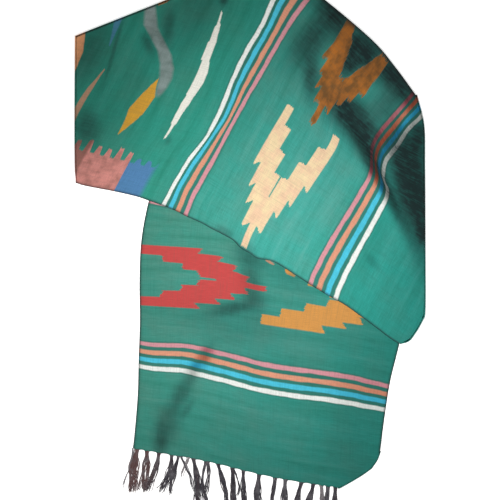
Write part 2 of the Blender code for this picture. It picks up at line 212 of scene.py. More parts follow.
# Weft lines of the end layer, from the back selvedge at the left to the front one
END_GUIDES = [
    guide(-60, (130, 476), (250, 500), (384, 520)),
    guide(
        0, (132.5, 450.5), (158, 455), (194, 461.5), (243, 473.5), (285, 482), (341, 490.5),
        (384, 495),
    ),
    guide(
        205, (137, 366.2), (153, 369.2), (170, 370.2), (183, 371.2), (198.8, 375.2),
        (219.5, 380.1), (249.4, 388.1), (273, 393.2), (305, 398), (326, 400), (350, 404),
        (363, 406.4), (386, 410.6),
    ),
    guide(
        264.5, (138.2, 342.6), (153, 345), (182, 345.8), (198.8, 348.3), (215.4, 352.3),
        (249.4, 361), (273, 366.6), (321, 373.1), (350, 377.6), (389, 387),
    ),
    guide(
        360, (138, 305.7), (196, 310), (214, 311.5), (233, 313.2), (261, 318.1), (300, 324.5),
        (326.5, 329), (395, 341),
    ),
    guide(
        436, (138, 275.3), (180, 276.6), (197.5, 277.6), (214, 279.2), (233, 281.8), (247, 284.6),
        (261, 287.6), (300, 293.4), (330, 298.2), (365, 304), (402, 310.5),
    ),
    guide(512, (140, 244.3), (199, 246.3), (222, 248.2), (262, 256), (330, 266), (402, 280)),
    guide(607.5, (144, 200), (165, 204), (200, 210), (262, 222), (330, 234), (402, 248)),
    guide(900, (150, 82), (264, 100), (405, 128)),
]

# Colours, as linear light
GREEN = (0.052, 0.405, 0.350)
GREEN_GREYED = (0.088, 0.365, 0.315)
GREEN_DEEP = (0.018, 0.245, 0.180)
GREEN_PALE = (0.150, 0.490, 0.440)
BETWEEN = (0.034, 0.150, 0.120)
WARP = (0.014, 0.115, 0.088)
# Near-black green of stains and of painted shade
STAIN_AND_SHADE = (0.020, 0.027, 0.029)
WHITE = (0.92, 0.95, 0.92)
BLUE = (0.078, 0.58, 0.78)
ORANGE = (0.78, 0.335, 0.215)
PINK = (0.72, 0.315, 0.36)
RED = (0.60, 0.060, 0.062)
GOLD = (0.70, 0.31, 0.072)
CREAM = (0.91, 0.70, 0.42)
BLUSH = (0.88, 0.57, 0.38)
RUST = (0.50, 0.158, 0.018)
UMBER = (0.185, 0.074, 0.015)
STRAW = (0.70, 0.36, 0.040)
BONE = (0.95, 0.93, 0.84)
ASH = (0.30, 0.34, 0.34)
ASH_DARK = (0.105, 0.125, 0.120)
ROSE = (0.50, 0.26, 0.16)
BRICK = (0.74, 0.27, 0.24)
BRICK_DARK = (0.36, 0.125, 0.105)
DENIM = (0.095, 0.225, 0.48)
APRICOT = (0.98, 0.42, 0.19)
DIRT_AND_SHADE = (0.08, 0.10, 0.11)  # what a stain or the painted shade of a fold leaves of each colour
CHARCOAL = (0.052, 0.052, 0.066)
YARN_BROWN = (0.170, 0.092, 0.086)
YARN_PALE = (0.36, 0.33, 0.34)
YARN_GREY = (0.24, 0.23, 0.25)
YARN_SHADE = (0.018, 0.018, 0.022)

# How the green leans from one part of the cloth to the next
TINT_REACH = 1200.0
TOP_TINTS = rows(
    Tint, (0, (0.66, 0.95, 0.93)), (190, (0.70, 0.96, 0.94)), (270, (1.12, 1.00, 0.98)),
    (380, (1.22, 1.04, 1.04)), (560, (1.10, 0.96, 0.92)), (640, (0.95, 0.97, 0.90)),
    (720, (0.80, 1.02, 0.90)), (1100, (0.84, 0.98, 0.84)),
)
END_TINTS = rows(
    Tint, (0, (1.50, 1.06, 0.97)), (300, (1.12, 0.98, 0.94)), (600, (0.72, 0.99, 0.95)),
)
END_ZONES = rows(
    Tint, (200, (1.0, 1.0, 1.0)), (270, (0.90, 0.87, 0.87)), (350, (0.84, 0.78, 0.78)),
    (600, (0.90, 0.82, 0.80)),
)

STRIPES = rows(
    Stripe, (230.4, 11.1, WHITE), (210.8, 11.5, BLUE), (191.6, 11.6, ORANGE), (171.8, 10.4, PINK),
)
STRIPES_FROM, STRIPES_TO = 163.0, 238.5

# One side of the stepped motif, from its tip to the ends of its arms: where each barb starts,
# and how wide the motif is before it and at it. There is a nick behind each barb.
MOTIF_LENGTH = 346.0
NICK = 12
MOTIF_BARBS = rows(Barb, (46, 8, 25), (97, 27, 41), (136, 43, 55), (186, 57, 71))
RED_BARBS = rows(Barb, (40, 7, 22), (77, 27, 43), (117, 45, 58), (175, 60, 73))
MOTIF_NOTCHES = rows(
    Notch, (0, -5), (131, -5), (132, 1.4), (190, 2.0), (192, 18), (243, 18), (245, 36), (299, 37),
    (301, 55), (346, 56),
)
RED_NOTCHES = rows(
    Notch, (0, -5), (128, -5), (130, 2.0), (178, 3.0), (184, 18), (224, 19), (230, 34), (278, 36),
    (284, 52), (346, 54),
)
DEEP_NOTCHES = rows(
    Notch, (0, -5), (172, -5), (180, 8), (215, 15), (240, 20), (262, 27), (285, 30), (322, 43),
    (346, 49),
)
FRAYED_BARBS = rows(Barb, (46, 8, 25), (92, 27, 41), (132, 43, 56), (180, 58, 73), (250, 70, 71))

TOP_MOTIFS = [
    Motif(
        tip=Seen(243.6, 247.0), arms=Seen(313.6, 121.6), stalk=0, bow=-3, skew=0.10, breadth=1.02,
        barbs=MOTIF_BARBS, notches=MOTIF_NOTCHES, colour=CREAM, mottled=BLUSH, fray=2.0,
    ),
    Motif(
        tip=Seen(311.5, 123.5), arms=Seen(368.4, 39.2), stalk=18, bow=13, skew=0, breadth=0.97,
        barbs=FRAYED_BARBS, notches=DEEP_NOTCHES, colour=RUST, mottled=UMBER, fray=9.0,
    ),
]
END_MOTIFS = [
    Motif(
        tip=Seen(266, 289.4), arms=Seen(138, 275.2), stalk=6, bow=0, skew=0, breadth=0.98,
        barbs=RED_BARBS, notches=RED_NOTCHES, colour=RED, mottled=RED, fray=4.0,
    ),
    Motif(
        tip=Seen(407.5, 313.2), arms=Seen(265, 287.8), stalk=0, bow=0, skew=0, breadth=1.2,
        barbs=MOTIF_BARBS, notches=MOTIF_NOTCHES, colour=GOLD, mottled=GOLD, fray=2.0,
    ),
]
SPINDLES = [
    spindle(
        (165, 138.6), (221.6, 12), 8, BONE, 0.97, (0.0, 2.6, 1.8), (0.05, 3.8, 1.2),
        (0.11, 5.6, 0.6), (0.13, 8.8, 3.0), (0.20, 9.8, 3.6), (0.25, 9.4, 6.6), (0.29, 9.3, 9.3),
        (0.345, 5.2, 11.6), (0.355, 7.0, 13.0), (0.407, 4.4, 17.6), (0.46, 2.4, 21.6),
        (0.54, 0.6, 22.6), (0.615, 0.8, 17.6), (0.625, 4.4, 16.0), (0.70, 3.2, 15.4),
        (0.76, 3.6, 15.0), (0.772, 0.8, 14.6), (0.85, 2.0, 10.8), (0.885, 2.4, 9.4),
        (0.90, 0.0, 8.0), (0.925, 0.2, 5.0), (1.0, 1.4, 2.8),
    ),
    spindle(
        (117.6, 135.3), (158.5, 79), 0, STRAW, 1.0, (0.0, 0.5, 0.5), (0.23, 7.7, 10.6),
        (0.445, 17.6, 18.4), (0.727, 11.0, 18.4), (0.86, 6.4, 9.0), (1.0, 0.5, 0.5),
    ),
    spindle(
        (71, 122), (105, 69.5), -6, ROSE, 0.9, (0.0, 7.0, 7.0), (0.35, 6.8, 6.8), (0.65, 5.4, 5.4),
        (0.8, 2.8, 3.4), (1.0, 1.0, 1.0),
    ),
    spindle(
        (109.5, 46), (121.5, 10), 0, DENIM, 0.55, (0.0, 0.5, 1.5), (0.5, 6.0, 6.0),
        (1.0, 11.0, 11.0),
    ),
    spindle(
        (73.5, 71), (76, 8), 0, APRICOT, 0.95, (0.0, 30.0, 3.0), (0.28, 30.0, 19.0),
        (0.55, 30.0, 22.0), (1.0, 30.0, 21.0),
    ),
    spindle(
        (158, 5.0), (171, -2.0), 0, RUST, 0.8, (0.0, 5.0, 2.0), (0.6, 7.0, 5.0), (1.0, 6.0, 2.0),
    ),
]
END_SPINDLES = [
    spindle(
        (265, 259.6), (274, 264.4), 0, ORANGE, 0.8, (0.0, 1.0, 1.0), (0.4, 3.2, 3.2),
        (1.0, 2.2, 2.2),
    ),
    spindle((286, 272.6), (294.5, 276.0), 0, GOLD, 0.85, (0.0, 2.6, 2.6), (1.0, 2.6, 2.6)),
]

# A soft grey ribbon across the centre field
RIBBON = rows(
    RibbonStop, (148.5, -12, 25), (150.4, 8, 26), (150.8, 17.4, 30), (151.1, 26.8, 34),
    (158.0, 40.2, 34), (164.8, 53.6, 33), (167.2, 67, 33), (166.0, 77.7, 30), (162.4, 87, 22),
    (157.6, 96, 12),
)
RIBBON_STRENGTH = 0.85

# The comb at the front selvedge of the centre field; its far end is painted darker, as shade
COMB_FROM, COMB_SPLIT, COMB_SHADED_FROM, COMB_TO = 731.0, 797.0, 905.0, 1010.0
COMB_SOLID = 80.0
COMB_TEETH = 110.0
COMB_STUBS = 94.0  # teeth of the blue part
COMB_UNEVEN = 14.0  # how much shorter than the tallest a tooth may be
COMB_PITCH = 26.0
COMB_FIRST = 6.0  # from the split to the middle of the first tooth

# Dark patches and dull stretches: real stains, and painted shade in fold valleys and where the
# cloth turns from the lamp. Turn is in degrees from +X.
DARK_PATCH_EDGE = 1.3  # how sharply a dark patch ends
TOP_STAINS_AND_SHADE = rows(
    DarkPatch, (266, 476, 64, 40, 128, 1.0), (236, 444, 40, 26, 60, 0.93), (154, 512, 86, 38, 50, 0.72),
    (146, 420, 62, 18, 86, 0.6), (204, 566, 80, 36, 125, 0.86), (165, 385, 90, 30, 112, 0.3),
    (226, 334, 52, 36, 124, 0.93), (268, 287, 94, 43, 121, 0.98), (283, 211, 42, 14, 112, 0.6),
    (350, 410, 96, 36, 130, 0.99), (322, 160, 140, 17, 114, 0.8), (374, 180, 136, 40, 106, 0.99),
    (406, 136, 165, 30, 92, 0.94), (374, 118, 62, 20, 114, 0.62), (320, 348, 52, 30, 52, 0.36),
    (398, 264, 60, 34, 64, 0.86), (414, 42, 24, 15, 90, 0.97), (293, -29, 24, 10, 128, 0.25),
    (-392, 294, 44, 34, 88, 0.62), (-196, 535, 52, 17, 86, 0.5), (-62, 598, 14, 10, 70, 0.7),
    (-243, 492, 28, 12, 116, 0.5), (-324, 485, 74, 5, 74, 0.45), (-384, 480, 90, 40, 66, 0.5),
    (-335, 350, 180, 80, 64, 0.2), (-120, 586, 120, 52, 64, 0.34), (-196, 262, 12, 8, 64, 0.35),
    (-60, 45, 26, 9, -25, 0.35), (-6, 3, 26, 14, -40, 0.3),
)
END_STAINS_AND_SHADE = rows(
    DarkPatch, (3, -88, 60, 26, 104, 0.55), (-38, -139, 58, 16, 12, 0.6), (0, -18, 44, 24, 150, 0.5),
    (90, -60, 70, 36, 150, 0.2), (-48, -172, 130, 60, 170, 0.2), (-138, -296, 26, 16, 75, 0.42),
    (-108, -254, 34, 16, 60, 0.42), (-165, -345, 42, 20, 66, 0.5), (-150, -382, 24, 9, 60, 0.35),
    (-198, -416, 54, 30, 76, 0.46), (-214, -460, 42, 17, 86, 0.5), (270, -420, 160, 90, 80, 0.18),
)

# Tassels: place of the root, how far the middle and the tip lie aside, length, how many
# yarns, how far they spread, and their tone: brown above 0 and pale below
TASSELS = rows(
    Tassel, (-282, -481, 3, -27, 98, 2, 2, -0.55), (-271, -483, -4, -12, 104, 22, 15, 0.9),
    (-248, -487, 2, -12, 98, 15, 10, 0.75), (-219, -491, 2, -26, 92, 14, 7, 0.35),
    (-188, -496, 2, -24, 90, 14, 8, 0.1), (-172, -499, -4, -20, 92, 12, 6, 0.05),
    (-168, -500, 6, 34, 86, 3, 3, 0.0), (-148, -503, -2, -16, 44, 4, 4, -0.9),
    (-136, -506, 5, 10, 112, 16, 8, 0.15), (-106, -513, -7, 0, 106, 7, 4, 0.0),
    (-103, -513, 5, -2, 80, 5, 4, 0.0), (-77, -519, 5, 22, 112, 13, 6, 0.05),
    (-42, -528, 0, 4, 114, 14, 7, 0.1), (-40, -528, 8, 13, 70, 3, 2, 0.0),
    (-16, -534, -2, 6, 112, 12, 6, 0.0), (22, -544, -3, -3, 116, 18, 10, 0.0),
    (61, -551, -4, -6, 112, 12, 6, 0.0), (86, -556, -4, 2, 114, 15, 9, -0.1),
    (124, -563, -5, -18, 112, 14, 8, 0.0), (153, -567, -6, -16, 110, 17, 9, 0.1),
    (172, -569, 2, 2, 108, 9, 7, -0.7), (188, -571, -3, -4, 112, 15, 9, -0.2),
    (206, -573, -2, 0, 114, 16, 7, 0.1),
)
YARN_RADIUS = 1.05
YARN_SHARE = 1.5  # yarns in a tassel, for each that its row names
YARN_SIDES = 6
YARN_STEPS = 16
FRINGE_SEED = 7
YARN_HIDDEN = 4  # length of a yarn inside the cloth
YARN_TWIST = 1.5, 4.0  # radians from root to tip, least and most
YARN_NEAT = 0.82  # share of the yarns whose tips stray little
YARN_STRAY, YARN_LOOSE = 2.4, 8.0  # how far the tips of neat and loose yarns stray
YARN_SWAY, YARN_BOB, TASSEL_SWAY = 0.9, 1.2, 1.6
TASSEL_ROOT, TASSEL_NECK = 5.4, 2.0  # half width at the root, and how much it narrows
YARN_SHORTEST = 0.84  # of a tassel's length
TONE_PLAY = 0.18

CORE_RINGS = rows(
    Ring, (0.0, 4.0, 8.0), (0.7, 1.4, 5.6), (1.6, 0.4, 5.0), (2.6, 0.0, 5.6), (2.9, 0.4, 9.5),
    (3.2, 0.9, 5.2), (4.2, 3.0, 4.6), (4.6, 16.5, 10.5), (5.2, 16.8, 5.4), (6.6, 16.8, 5.2),
    (7.3, 16.5, 9.5), (7.6, 5.0, 4.2), (8.4, 3.0, 3.2), (9.3, 2.6, 3.4), (10.2, 5.0, 5.0),
)
CORE_DROP = 1.6  # from the middle of the top layer to the folded layers
CORE_FRONT = 75.0  # from the front selvedge to the folded layers
CORE_WAVE = Wave(1.6, 46, 3.7)
CORE_WAVE_RINGS = 4  # rings that share one wave
CORE_CORNER, CORE_BLEND = 3, 5  # columns beside a corner, and from fold to selvedge
CORE_SHARP = 50  # degrees at which an edge of the folded layers stays sharp

# Soft waves of the sheets, and how far from the edges the sheets stay flat, as shares
TOP_WAVES = rows(Wave, (0.9, 95, 2.0), (0.35, 33, 5.0))
FRONT_WAVES = rows(Wave, (0.9, 60, 9.0))
END_WAVES = rows(Wave, (0.5, 80, 3.0), (0.2, 30, 6.0))
WAVE_GAIN = 1.7
WAVE_FREE = 0.05
FOLDED_S, FOLDED_T = (0.1, 0.06), (0.14, 0.1)
FRONT_FADE = 9  # how fast the waves of the front selvedge fade behind it
END_FLAT = 0.1
END_WAVES_TO, END_WAVES_SOFT = 0.72, 0.2

# The room, in metres and watts
LAMPS = rows(
    Lamp,
    ("key", (0.04, 0.0, KEY_HEIGHT), (0.06, 0.02, 0.0), 11.6, 0.3, (1.0, 0.99, 0.97)),
    ("side", (-1.3, -0.9, 0.9), (0.0, 0.1, 0.0), 5.0, 0.5, (1.0, 0.98, 0.96)),
)
SKY, SKY_STRENGTH = (0.95, 0.98, 1.0, 1), 0.16
FLOOR_HALF = 40.0
LENS, SENSOR = 85.0, 36.0
SURFACE = 0.012  # height of the surface that the camera frames
CAMERA_REACH = 20.0


def xy(points):
    return np.array([(p.x, p.y) for p in points], float)


def plan(seen):
    """Places in the photograph as an array of places on the cloth's surface."""
    return (xy(seen) - PHOTO_MIDDLE) * (PIXEL, -PIXEL)


def smoothstep(value):
    held = np.clip(value, 0.0, 1.0)
    return held * held * (3 - 2 * held)


def within(value, first, last):
    """1 between 0 and 1, and falling to 0 at the ends over the first and the last share."""
    return smoothstep(value / first) * smoothstep((1 - value) / last)


def bell(value):
    return np.exp(-(value**2))


def curve_through(knots, per_span=14):
    """A dense smooth line through an array of points."""
    padded = np.vstack([2 * knots[0] - knots[1], knots, 2 * knots[-1] - knots[-2]])
    w = np.arange(per_span)[:, None] / per_span
    line = []
    for before, start, end, after in zip(padded, padded[1:], padded[2:], padded[3:]):
        bend = 2 * before - 5 * start + 4 * end - after
        twist = 3 * start - before - 3 * end + after
        line.append(0.5 * (2 * start + (end - before) * w + bend * w**2 + twist * w**3))
    line.append(knots[-1:])
    return np.vstack(line)


def reached(line):
    """How far along a line each of its points lies, from 0 to 1."""
    steps = np.linalg.norm(np.diff(line, axis=0), axis=1)
    return np.concatenate([[0.0], np.cumsum(steps)]) / steps.sum()


def route(*legs):
    """A function from 0..1 to points in plan. Each leg is (points, share of the way)."""
    ends = np.cumsum([0.0] + [share for _, share in legs])
    lines = [curve_through(xy(points)) for points, _ in legs]
    stations = np.concatenate(
        [low + (high - low) * reached(line) for line, low, high in zip(lines, ends, ends[1:])]
    )
    places = np.concatenate(lines)

    def at(w):
        return np.stack([np.interp(w, stations, places[:, axis]) for axis in (0, 1)], -1)

    return at


def patch(bottom, top, left, right, s, t):
    """Points at (s, t) of the sheet that spans four edges."""
    s1, t1 = s[..., None], t[..., None]
    across = (1 - t1) * bottom(s) + t1 * top(s)
    along = (1 - s1) * left(t) + s1 * right(t)
    near = (1 - s1) * bottom(0.0) + s1 * bottom(1.0)
    far = (1 - s1) * top(0.0) + s1 * top(1.0)
    return across + along - ((1 - t1) * near + t1 * far)


def cells(columns, lines):
    """Places (s, t) of a grid over a patch."""
    return np.meshgrid(np.linspace(0, 1, columns + 1), np.linspace(0, 1, lines + 1), indexing="ij")


def fold_height(folds, x, y):
    total = np.zeros_like(x)
    for fold in folds:
        run = np.array([fold.x1 - fold.x0, fold.y1 - fold.y0], float)
        share = ((x - fold.x0) * run[0] + (y - fold.y0) * run[1]) / float(run @ run)
        aside = np.hypot(x - fold.x0 - share * run[0], y - fold.y0 - share * run[1])
        total += fold.height * within(share, FOLD_ENDS, FOLD_ENDS) * bell(aside / fold.width)
    return total


def ripple(x, y, size, seed):
    """Soft uneven waves between -1 and 1, about the given size apart."""
    spots = zip(np.ravel(x), np.ravel(y))
    flat = [noise.noise(Vector((a / size, b / size, seed))) for a, b in spots]
    return np.clip(np.reshape(flat, np.shape(x)) * WAVE_GAIN, -1, 1)


def waves(kinds, x, y, lift=0):
    return sum(wave.height * (lift + ripple(x, y, wave.size, wave.seed)) for wave in kinds)


def outward(places):
    """Plan offsets that move an open clockwise line of points out by 1, with mitred corners."""
    run = np.diff(places[:, :2], axis=0)
    run /= np.linalg.norm(run, axis=1)[:, None]
    sides = np.stack([-run[:, 1], run[:, 0]], axis=1)
    before = np.vstack([sides[:1], sides])
    after = np.vstack([sides, sides[-1:]])
    return (before + after) / (1 + np.sum(before * after, axis=1))[:, None]


def distance_to(points, places):
    """Plan distance from places to the nearest stretch of a line of points."""
    line = curve_through(xy(points), 4)
    best = np.full(len(places), np.inf)
    for start, end in zip(line, line[1:]):
        run = end - start
        share = np.clip(((places - start) @ run) / float(run @ run), 0, 1)
        near = start + share[:, None] * run
        best = np.minimum(best, np.linalg.norm(near - places, axis=1))
    return best


def crossed(a, b):
    return a[:, 0] * b[:, 1] - a[:, 1] * b[:, 0]


class Weave:
    """Where a place in plan lies on the cloth, from the weft lines that show."""

    LINES = 121  # stations of a weft line
    ALONG, ACROSS = 260, 140  # first guesses, each way
    PAST = 0.15  # how far they go past the selvedges, as a share of the width
    ROUNDS, DAMPING = 6, 0.8
    STEP_ALONG, STEP_ACROSS = 0.5, 0.002

    def __init__(self, guides, reverse=False):
        self.along = np.array([g.along for g in guides], float)
        share = np.linspace(0, 1, self.LINES)
        lines = []
        for row in guides:
            line = curve_through(plan(row.seen))
            far = reached(line)
            lines.append(np.stack([np.interp(share, far, line[:, k]) for k in (0, 1)], -1))
        self.lines = np.array(lines)
        self.reverse = reverse
        along = np.linspace(self.along[0], self.along[-1], self.ALONG)
        across = np.linspace(-self.PAST, 1 + self.PAST, self.ACROSS)
        self.samples = np.array([(a, c) for a in along for c in across])
        self.tree = kdtree.KDTree(len(self.samples))
        for index, place in enumerate(self.place(self.samples)):
            self.tree.insert((*place, 0.0), index)
        self.tree.balance()

    def place(self, cloth):
        """Plan places of (along, share of the width). It carries on past the selvedges."""
        along, share = cloth[:, 0], cloth[:, 1]
        k = np.clip(np.searchsorted(self.along, along) - 1, 0, len(self.along) - 2)
        w = ((along - self.along[k]) / (self.along[k + 1] - self.along[k]))[:, None]
        position = share * (self.LINES - 1)
        j = np.clip(position.astype(int), 0, self.LINES - 2)
        f = (position - j)[:, None]
        low = self.lines[k, j] * (1 - f) + self.lines[k, j + 1] * f
        high = self.lines[k + 1, j] * (1 - f) + self.lines[k + 1, j + 1] * f
        return low * (1 - w) + high * w

    def cloth(self, places):
        """(along, across) in millimetres for plan places."""
        found = np.array([self.samples[self.tree.find((*p, 0.0))[1]] for p in places])
        for _ in range(self.ROUNDS):
            here = self.place(found)
            da = (self.place(found + (self.STEP_ALONG, 0.0)) - here) / self.STEP_ALONG
            ds = (self.place(found + (0.0, self.STEP_ACROSS)) - here) / self.STEP_ACROSS
            error = places - here
            area = crossed(da, ds)
            area = np.where(np.abs(area) < 1.0, 1.0, area)
            step = np.stack([crossed(error, ds) / area, crossed(da, error) / area], -1)
            found = found + self.DAMPING * step
        share = found[:, 1] if self.reverse else 1 - found[:, 1]
        return np.stack([found[:, 0], share * WIDTH], -1)


def meshed(name, places, faces, material):
    mesh = bpy.data.meshes.new(name)
    mesh.from_pydata((np.asarray(places) * MM).tolist(), [], faces)
    mesh.materials.append(material)
    return mesh


def linked(name, data):
    shape = bpy.data.objects.new(name, data)
    bpy.context.scene.collection.objects.link(shape)
    return shape


def store(mesh, label, values):
    layer = mesh.attributes.new(label, "FLOAT", "POINT")
    layer.data.foreach_set("value", values.astype(np.float32))


class Sheet:
    """A cloth surface of quads, with its place on the cloth at each point."""

    def __init__(self):
        self.places = np.zeros((0, 3))
        self.unfolded = np.zeros((0, 2))
        self.faces = []

    def add(self, places, unfolded):
        first = len(self.places)
        self.places = np.vstack([self.places, places])
        self.unfolded = np.vstack([self.unfolded, unfolded])
        return np.arange(first, first + len(places))

    def grid(self, places):
        flat = places.reshape(-1, 3)
        index = self.add(flat, flat[:, :2]).reshape(places.shape[:2])
        self.join(index)
        return index

    def join(self, index):
        a, b = index[:-1, :-1], index[1:, :-1]
        c, d = index[1:, 1:], index[:-1, 1:]
        self.faces += np.stack([a, b, c, d], -1).reshape(-1, 4).tolist()

    def turn_under(self, edge):
        """Rolls the cloth under along a clockwise edge of points, with a leg that lies flat."""
        start = self.places[edge]
        side = outward(start)
        carried = distance_to(FRONT_SELVEDGE, start[:, :2]) - CORE_FRONT
        lifted = smoothstep((carried + LIFT / 2) / LIFT)
        leg = ON_FLOOR + lifted * np.maximum(0, start[:, 2] - TURN - ON_FLOOR)
        drop = (start[:, 2] - leg) / 2
        bulge = np.minimum(drop, TURN / 2)
        flange = FLANGE * (1 - FLANGE_CUT * bell(carried / LIFT))
        strips = [edge]
        for step in range(1, TURN_STEPS + FLANGE_STEPS + 1):
            angle = math.pi * min(step, TURN_STEPS) / TURN_STEPS
            past = max(0, step - TURN_STEPS) * flange / FLANGE_STEPS
            out = bulge * math.sin(angle) - past
            low = start[:, 2] - drop * (1 - math.cos(angle))
            far = drop * angle + past
            places = np.column_stack([start[:, :2] + side * out[:, None], low])
            strips.append(self.add(places, start[:, :2] + side * far[:, None]))
        self.join(np.array(strips).T[:, ::-1])

    def piece(self, name, weave, dark_patches, edges, material):
        mesh = meshed(name, self.places, self.faces, material)
        cloth = weave.cloth(self.unfolded) * MM
        loops = np.zeros(len(mesh.loops), int)
        mesh.loops.foreach_get("vertex_index", loops)
        layer = mesh.uv_layers.new(name="cloth")
        layer.data.foreach_set("uv", cloth[loops].astype(np.float32).ravel())
        # Painted shade along selvedges and folds, darkest at the edge
        lines = [bell(distance_to(line, self.unfolded) / width) for line, width in edges]
        # Real stains, and painted shade of folds and of cloth turned from the lamp, as one
        # darkening
        store(mesh, "soil_and_shade", stained_and_shaded(dark_patches, self.unfolded))
        # Painted light: a pool of lamp light, brightest in the middle of the pile
        store(mesh, "painted_light", painted_light_falloff(self.unfolded))
        store(mesh, "edge", np.max(lines, axis=0))
        mesh.shade_smooth()
        shape = linked(name, mesh)
        wall = shape.modifiers.new("wall", "SOLIDIFY")
        wall.thickness = CLOTH * MM
        wall.offset = 0.0
        wall.use_rim = True
        return shape


def painted_light_falloff(places):
    """Painted light: how bright a pool of lamp light painted into the colour leaves each place, 1
    in the middle and less around it.
    """
    far = np.sum(((places - PAINTED_LIGHT_MIDDLE) * MM) ** 2, axis=1)
    return ((1 + far / KEY_HEIGHT**2) / (1 + far / PAINTED_LIGHT_REACH**2)) ** 2


def stained_and_shaded(dark_patches, places):
    """How dark the stains and the painted shade make each place, from 0 to 1."""
    clean = np.ones(len(places))
    for dark_patch in dark_patches:
        turn = math.radians(dark_patch.turn)
        x, y = places[:, 0] - dark_patch.x, places[:, 1] - dark_patch.y
        long = (x * math.cos(turn) + y * math.sin(turn)) / dark_patch.length
        wide = (-x * math.sin(turn) + y * math.cos(turn)) / dark_patch.width
        clean *= 1 - dark_patch.strength * np.exp(-((long**2 + wide**2) ** DARK_PATCH_EDGE))
    return 1 - clean


TOP_FRONT = route((FRONT_SELVEDGE, 1.0))
TOP_BACK = route((SLANTED_FOLD, 0.5), (BACK_SELVEDGE, 0.5))
TOP_LEFT = route((LEFT_FOLD, 1.0))
TOP_RIGHT = route((RIGHT_FOLD, 1.0))
END_FRONT = route((FRINGE_EDGE, 1 - CORNER_SHARE), (CORNER_TURN, CORNER_SHARE))
END_BACK = route((HIDDEN_EDGE, 1.0))
END_LEFT_SIDE = route((END_LEFT, 1.0))
END_RIGHT_SIDE = route((SIDE_TURN, SIDE_SHARE), (END_RIGHT, 1 - SIDE_SHARE))


def top_sheet(s, t):
    """Places of the top layer's middle at (s, t)."""
    plane = patch(TOP_FRONT, TOP_BACK, TOP_LEFT, TOP_RIGHT, s, t)
    x, y = plane[..., 0], plane[..., 1]
    dip = smoothstep((x - DIP_FROM) / DIP_SOFT_FROM) * smoothstep((DIP_TO - x) / DIP_SOFT_TO)
    front = ON_LAYER + HAIR - dip * (ON_LAYER - ON_FLOOR)
    behind = t * np.linalg.norm(TOP_BACK(s) - TOP_FRONT(s), axis=-1)
    z = front + (STACK - front) * smoothstep(behind / RISE)
    z += CROWN * (1 - (2 * s - 1) ** 4) * (1 - (2 * t - 1) ** 4)
    z += within(s, *FOLDED_S) * within(t, *FOLDED_T) * fold_height(TOP_FOLDS, x, y)
    return np.stack([x, y, z], -1)


def make_top(weave, material):
    s, t = cells(TOP_COLUMNS, TOP_ROWS)
    places = top_sheet(s, t)
    x, y = places[..., 0], places[..., 1]
    inside = within(s, WAVE_FREE, WAVE_FREE) * smoothstep((1 - t) / WAVE_FREE)
    front = np.exp(-t * FRONT_FADE)
    places[..., 2] += inside * (1 - front) * waves(TOP_WAVES, x, y)
    places[..., 2] += inside * front * waves(FRONT_WAVES, x, y, 1)
    sheet = Sheet()
    index = sheet.grid(places)
    half = TOP_COLUMNS // 2
    sheet.turn_under(np.concatenate([index[0], index[1 : half + 1, -1]]))
    sheet.turn_under(index[-1, :0:-1])
    edges = [(FRONT_SELVEDGE, EDGE_SHADE_LINE), (BACK_SELVEDGE, DARK_RIM), (SLANTED_FOLD, FOLD_SHADE_LINE)]
    return sheet.piece("top_cloth", weave, TOP_STAINS_AND_SHADE, edges, material)


def make_end(weave, material):
    s, t = cells(END_COLUMNS, END_ROWS)
    plane = patch(END_FRONT, END_BACK, END_LEFT_SIDE, END_RIGHT_SIDE, s, t)
    x = plane[..., 0]
    roots = np.array([tassel.x for tassel in TASSELS if tassel.yarns > FULL_TASSEL], float)
    near = np.min(np.abs(x[..., None] - roots), axis=-1)
    pulled = (1 - smoothstep(t / SCALLOP_DEPTH)) * smoothstep((SCALLOP_TO - x) / SCALLOP_SOFT)
    y = plane[..., 1] + SCALLOP * pulled * (1 - bell(near / SCALLOP_ROOT))
    flap = distance_to(CORNER_TURN + SIDE_TURN[1:], np.stack([x, y], -1).reshape(-1, 2))
    over_flap = 1 - smoothstep((flap.reshape(x.shape) - FLANGE - FLAP_REST) / FLAP_RAMP)
    z = ON_FLOOR + over_flap * (ON_LAYER + HAIR - ON_FLOOR)
    z += fold_height(END_FOLDS, x, y) * smoothstep(t / END_FLAT)
    z += smoothstep((END_WAVES_TO - t) / END_WAVES_SOFT) * waves(END_WAVES, x, y, 1)
    sheet = Sheet()
    index = sheet.grid(np.stack([x, y, z], -1))
    corner = index[END_COLUMNS - round(CORNER_SHARE * END_COLUMNS) :, 0]
    side = index[-1, 1 : round(SIDE_SHARE * END_ROWS) + 1]
    sheet.turn_under(np.concatenate([corner, side])[::-1])
    edges = [(END_LEFT, EDGE_SHADE_LINE), (END_RIGHT, EDGE_SHADE_LINE)]
    return sheet.piece("end_cloth", weave, END_STAINS_AND_SHADE, edges, material)


